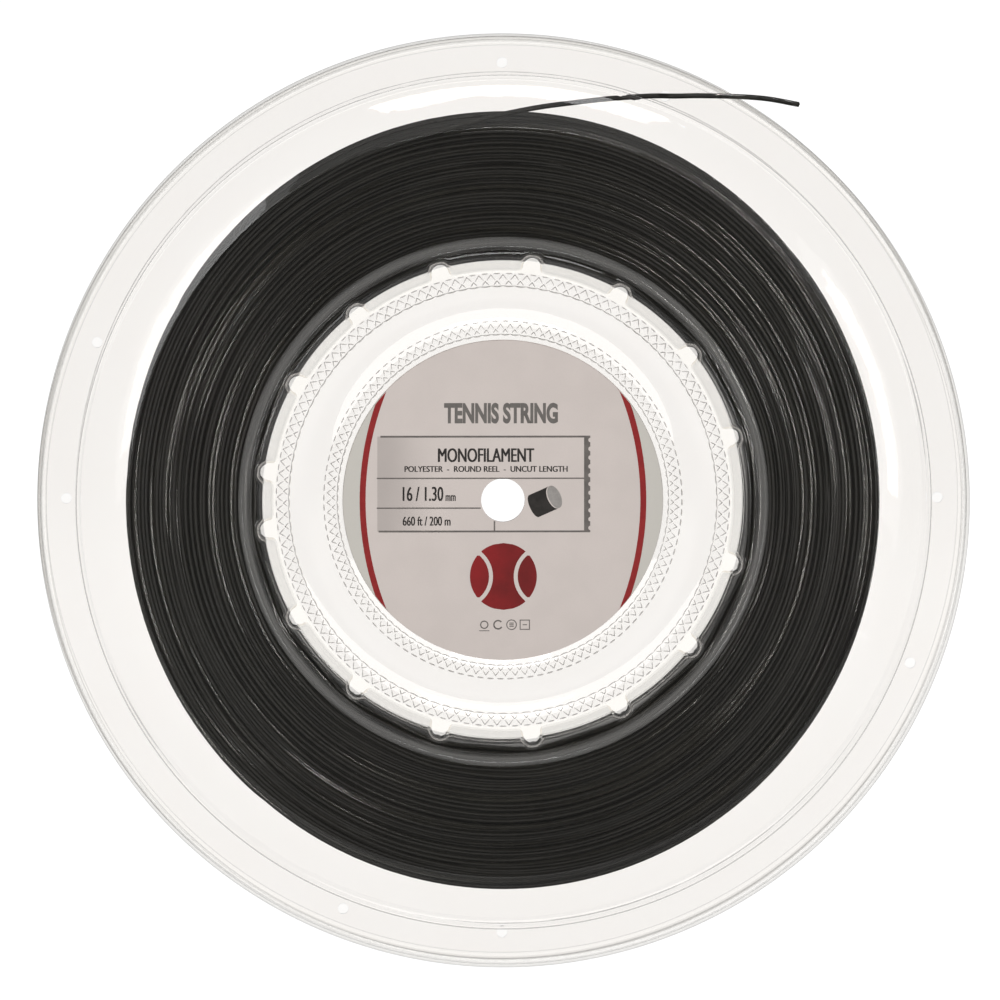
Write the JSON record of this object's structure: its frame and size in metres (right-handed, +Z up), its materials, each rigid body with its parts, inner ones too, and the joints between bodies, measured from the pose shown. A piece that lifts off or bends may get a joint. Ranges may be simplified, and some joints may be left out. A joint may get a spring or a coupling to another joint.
{
  "type": "racket string reel",
  "caption": "Clear flanged spool of dark racket string, round paper labels in the hub recesses, string end led out through a rim tie hole.",
  "frame": {"origin": "centre of the spindle hole on the plane where the two shells meet", "axes": "+Y along the spindle axis towards the rear label, -Y out of the front label, +Z up, +X to the right seen from the front; the rim rests on z = -0.128"},
  "size_m": [0.256, 0.0289, 0.256],
  "materials": {
    "clear_shell": "clear glossy formed sheet",
    "label_paper": "satin printed paper",
    "string": "glossy extruded monofilament"
  },
  "bodies": {
    "reel": {"front_shell": "clear_shell", "rear_shell": "clear_shell", "front_label": "label_paper", "rear_label": "label_paper", "string_coil": "string"},
    "string_end": {"string_tail": "string"}
  },
  "joints": [
    {"name": "tail_lift", "type": "hinge", "parent": "reel", "child": "string_end", "pos_m": [0.04777, -0.01405, 0.11157], "axis": [0, 0, -1], "range_deg": [0, 60]}
  ]
}
